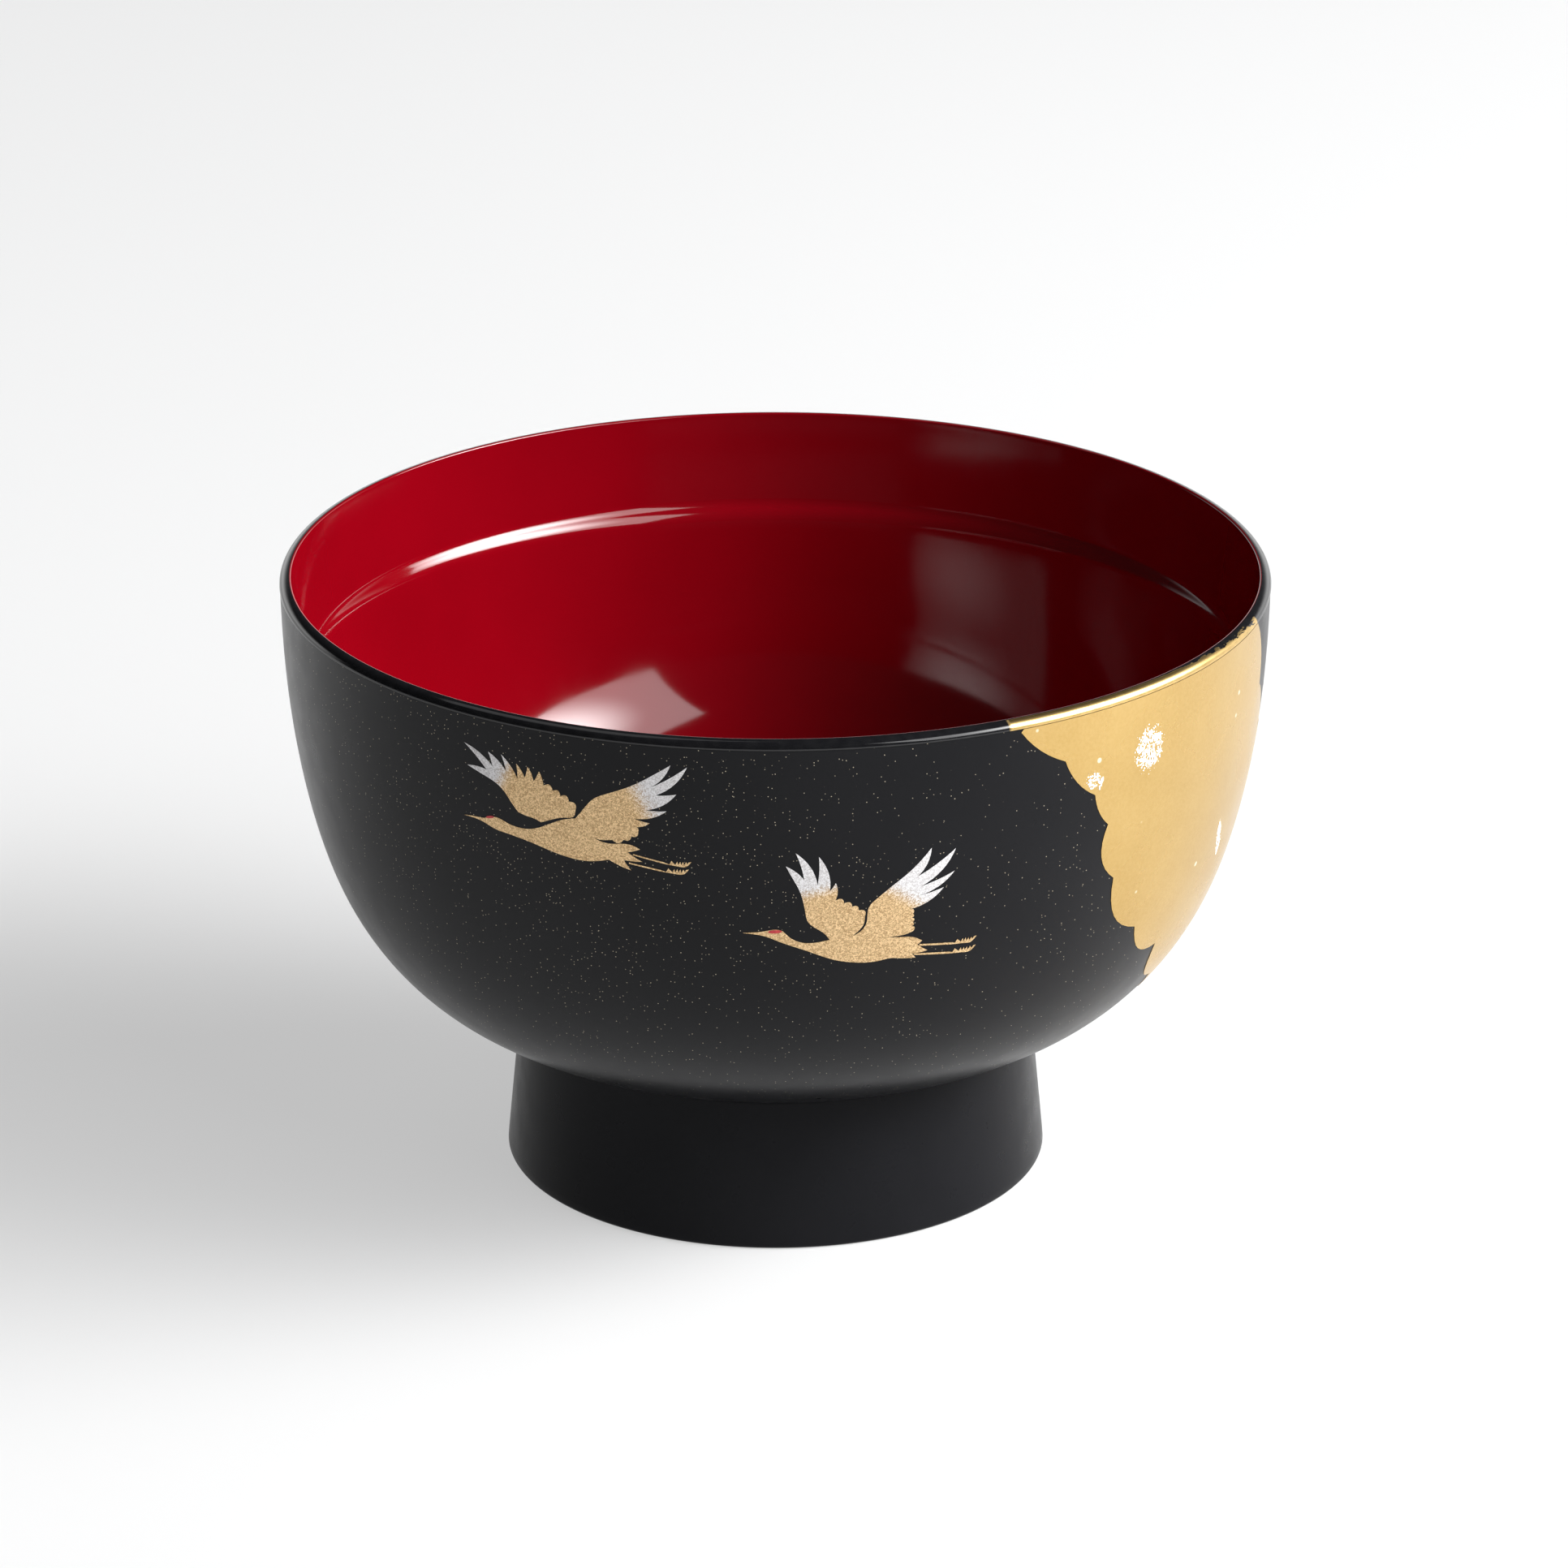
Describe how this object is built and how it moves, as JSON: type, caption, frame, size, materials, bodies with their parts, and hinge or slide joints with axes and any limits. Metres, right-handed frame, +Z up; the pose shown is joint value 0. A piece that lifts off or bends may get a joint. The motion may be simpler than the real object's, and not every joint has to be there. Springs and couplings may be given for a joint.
{
  "type": "footed lacquer soup bowl",
  "caption": "Round footed lacquer soup bowl: black outside, red inside with a step below the rim, gold cloud and flying crane decoration.",
  "frame": {"origin": "centre of the foot's flat standing face, on the surface that the bowl stands on", "axes": "+Z up along the bowl's turning axis, out of its mouth; -Y towards the side with the two cranes; +X towards the gold cloud"},
  "size_m": [0.115, 0.115, 0.0726],
  "materials": {
    "turned_wood": "smooth turned wood, hidden under the coats",
    "black_satin_lacquer": "satin black lacquer with a sparse gold dust",
    "black_foot_lacquer": "plain satin black lacquer",
    "black_gloss_lacquer": "gloss black lacquer",
    "red_gloss_lacquer": "polished vermilion lacquer",
    "glue": "hardened lacquer glue",
    "gold_leaf": "satin gold leaf, slightly clouded",
    "pale_leaf": "pale silver-white leaf in small flakes",
    "gold_powder": "grainy sprinkled gold powder, fading to silver-white at the wing tips",
    "red_paint": "thin matt red paint"
  },
  "bodies": {
    "root": {"bowl_core": "turned_wood", "outer_lacquer": "black_satin_lacquer", "inner_lacquer": "red_gloss_lacquer", "lip_lacquer": "black_gloss_lacquer", "foot_ring": "black_foot_lacquer", "foot_glue_line": "glue", "foot_well_lacquer": "black_foot_lacquer", "gold_cloud": "gold_leaf", "pale_fleck_oval": "pale_leaf", "pale_fleck_corner": "pale_leaf", "pale_fleck_streak": "pale_leaf", "left_crane_body": "gold_powder", "left_crane_far_wing": "gold_powder", "left_crane_crown": "red_paint", "left_crane_leg_upper": "gold_powder", "left_crane_leg_lower": "gold_powder", "right_crane_body": "gold_powder", "right_crane_crown": "red_paint", "right_crane_leg_upper": "gold_powder", "right_crane_leg_lower": "gold_powder"}
  },
  "joints": []
}
